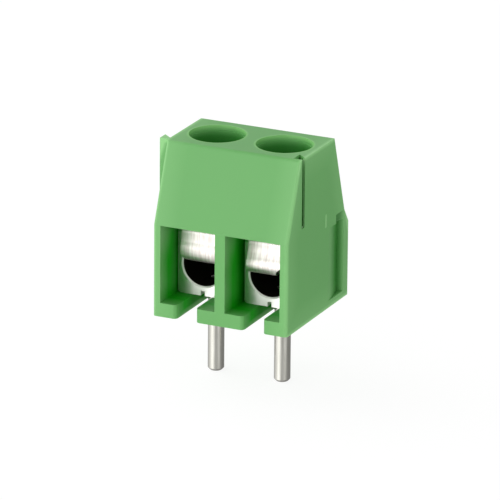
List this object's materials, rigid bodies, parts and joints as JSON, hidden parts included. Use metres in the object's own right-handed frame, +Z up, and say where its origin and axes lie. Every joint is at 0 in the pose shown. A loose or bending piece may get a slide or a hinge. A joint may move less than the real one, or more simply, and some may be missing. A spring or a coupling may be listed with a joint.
{
  "type": "pcb screw terminal block",
  "caption": "Side-by-side screw terminal block for circuit boards, with sloping front, wire guards over round wire bores and round solder pins.",
  "frame": {"origin": "on the board surface, half way between the two solder pins", "axes": "+X along the row of poles, +Y from the wire side to the back, +Z up out of the board"},
  "size_m": [0.0108, 0.0103, 0.0172],
  "materials": {
    "housing": "satin moulded polyamide",
    "clamp_body": "nickel plated",
    "wire_guard": "bright rolled strip",
    "clamp_screw": "zinc plated",
    "solder_pin": "tin plated, drawn wire"
  },
  "bodies": {
    "block": {"housing": "housing", "clamp_body_1": "clamp_body", "clamp_body_2": "clamp_body", "solder_pin_1": "solder_pin", "solder_pin_2": "solder_pin"},
    "guard_1": {"wire_guard_1": "wire_guard"},
    "guard_2": {"wire_guard_2": "wire_guard"},
    "screw_1": {"clamp_screw_1": "clamp_screw"},
    "screw_2": {"clamp_screw_2": "clamp_screw"}
  },
  "joints": [
    {"name": "guard_press_1", "type": "slide", "parent": "block", "child": "guard_1", "axis": [0, 0, -1], "range_m": [-0.00095, 0.0011], "deforming": ["wire_guard_1"]},
    {"name": "screw_turn_1", "type": "hinge", "parent": "guard_1", "child": "screw_1", "pos_m": [-0.00254, 0, 0.0073], "axis": [0, 0, -1], "range_deg": [-685, 793]},
    {"name": "guard_press_2", "type": "slide", "parent": "block", "child": "guard_2", "axis": [0, 0, -1], "range_m": [-0.00095, 0.0011], "deforming": ["wire_guard_2"]},
    {"name": "screw_turn_2", "type": "hinge", "parent": "guard_2", "child": "screw_2", "pos_m": [0.00254, 0, 0.0073], "axis": [0, 0, -1], "range_deg": [-685, 793]}
  ],
  "couplings": [
    {"joint": "screw_turn_1", "follows": "guard_press_1", "rad_per_m": 12566},
    {"joint": "screw_turn_2", "follows": "guard_press_2", "rad_per_m": 12566}
  ]
}
